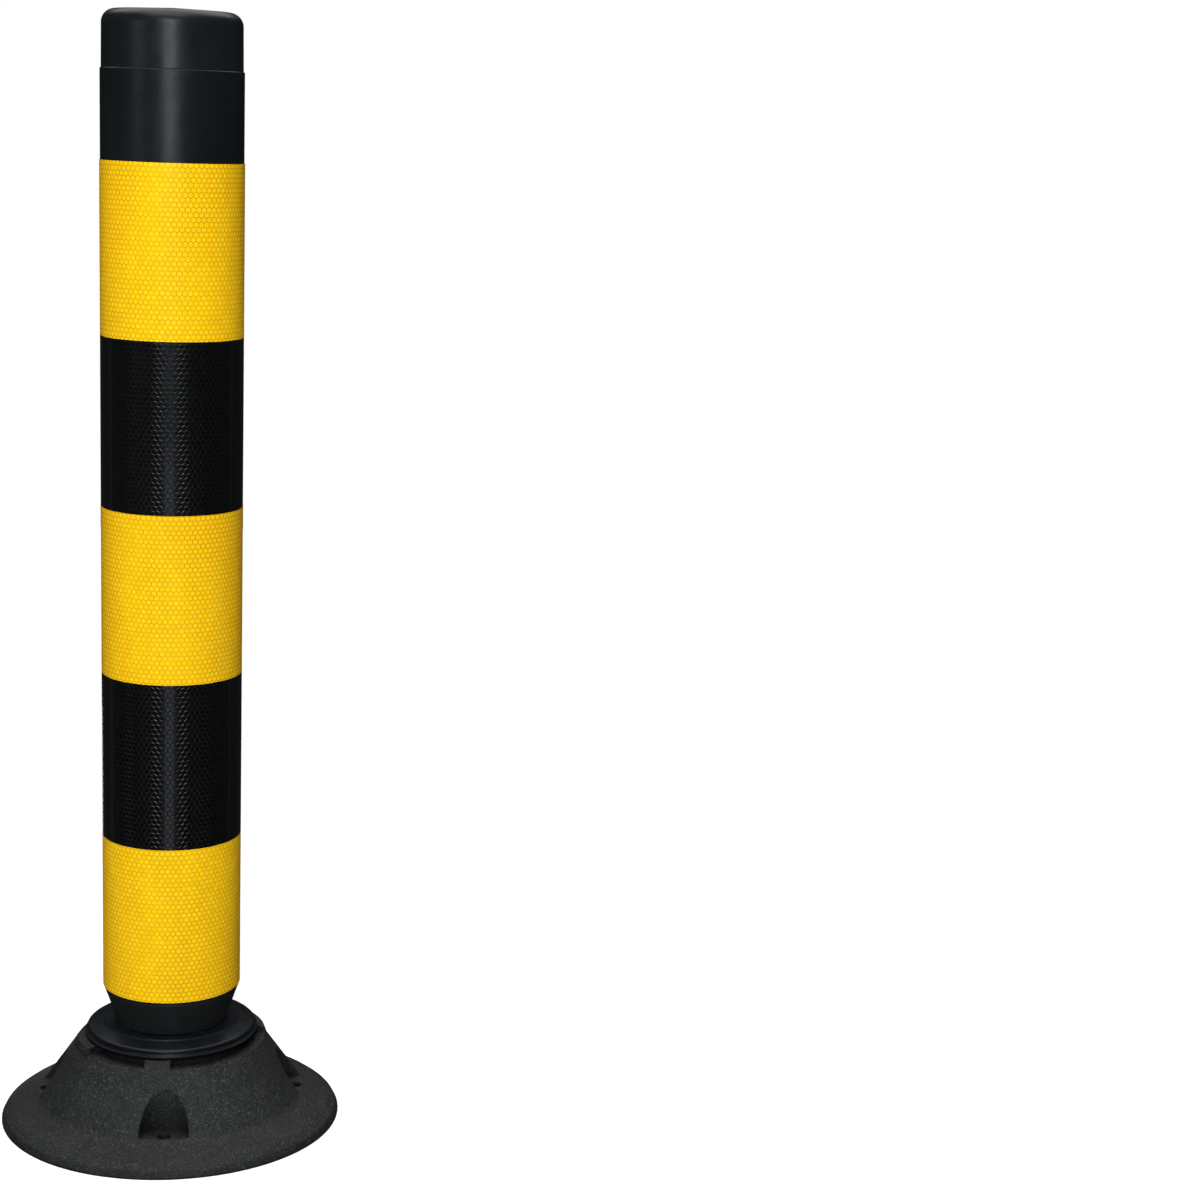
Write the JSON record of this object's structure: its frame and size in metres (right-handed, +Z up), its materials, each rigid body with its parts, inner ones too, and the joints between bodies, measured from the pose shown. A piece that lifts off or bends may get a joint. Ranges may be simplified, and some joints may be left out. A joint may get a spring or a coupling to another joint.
{
  "type": "delineator post",
  "caption": "Self-righting round post on a domed bolt-down base, with reflective bands, a domed cap, a tapered foot and a sprung wire hinge that lets it tip flat and stand up again.",
  "frame": {"origin": "on the ground, at the centre of the round base's underside", "axes": "+Z up along the standing post; the post tips towards +X when the tipping direction is at rest; -Y is the front"},
  "size_m": [0.2, 0.2, 0.65],
  "materials": {
    "base_rubber": "matte",
    "ring_plastic": "glossy",
    "hub_plastic": "satin",
    "zinc_steel": "satin",
    "wire_steel": "bright",
    "tube_plastic": "satin",
    "foot_plastic": "satin",
    "cap_plastic": "satin",
    "film_yellow": "glossy",
    "film_black": "glossy",
    "nylon": "satin",
    "spring_steel": "satin"
  },
  "bodies": {
    "base": {"base_shell": "base_rubber", "socket_ring": "ring_plastic", "hub_spider": "hub_plastic", "clamp_plate": "zinc_steel", "ring_screws": "zinc_steel", "spider_spacer": "nylon"},
    "wire_swivel": {"thrust_washer": "nylon", "wire_anchor": "zinc_steel", "lower_wires": "wire_steel", "lower_crimps": "zinc_steel"},
    "wires": {"wire_span": "wire_steel"},
    "post": {"foot_cone": "foot_plastic", "foot_rivets": "zinc_steel", "wire_eyelet": "nylon", "post_tube": "tube_plastic", "yellow_film_bottom": "film_yellow", "black_film_lower": "film_black", "yellow_film_middle": "film_yellow", "black_film_upper": "film_black", "yellow_film_top": "film_yellow", "top_cap": "cap_plastic", "spring_seat": "zinc_steel", "spring_guide": "nylon", "compression_spring": "spring_steel"},
    "wire_puller": {"pull_plate": "zinc_steel", "upper_wires": "wire_steel", "upper_crimps": "zinc_steel"}
  },
  "joints": [
    {"name": "tip_direction", "type": "hinge", "parent": "base", "child": "wire_swivel", "pos_m": [0, 0, 0], "axis": [0, 0, 1], "continuous": true},
    {"name": "post_tip", "type": "hinge", "parent": "wire_swivel", "child": "post", "pos_m": [0.0342, 0, 0.061], "axis": [0, 1, 0], "range_deg": [0, 90], "stiffness_Nm_per_rad": 5, "springref_deg": -68.75},
    {"name": "wire_lean", "type": "hinge", "parent": "wire_swivel", "child": "wires", "pos_m": [0, 0, 0.061], "axis": [0, 1, 0], "range_deg": [0, 45.1]},
    {"name": "wire_pull", "type": "slide", "parent": "post", "child": "wire_puller", "axis": [0, 0, 1], "range_m": [-0.0485, 0], "stiffness_N_per_m": 200, "springref_m": 0.03, "deforming": ["compression_spring"]}
  ],
  "couplings": [
    {"joint": "wire_lean", "follows": "post_tip", "ratio": 0.5},
    {"joint": "wire_pull", "follows": "post_tip", "m_per_rad": -0.0308}
  ]
}
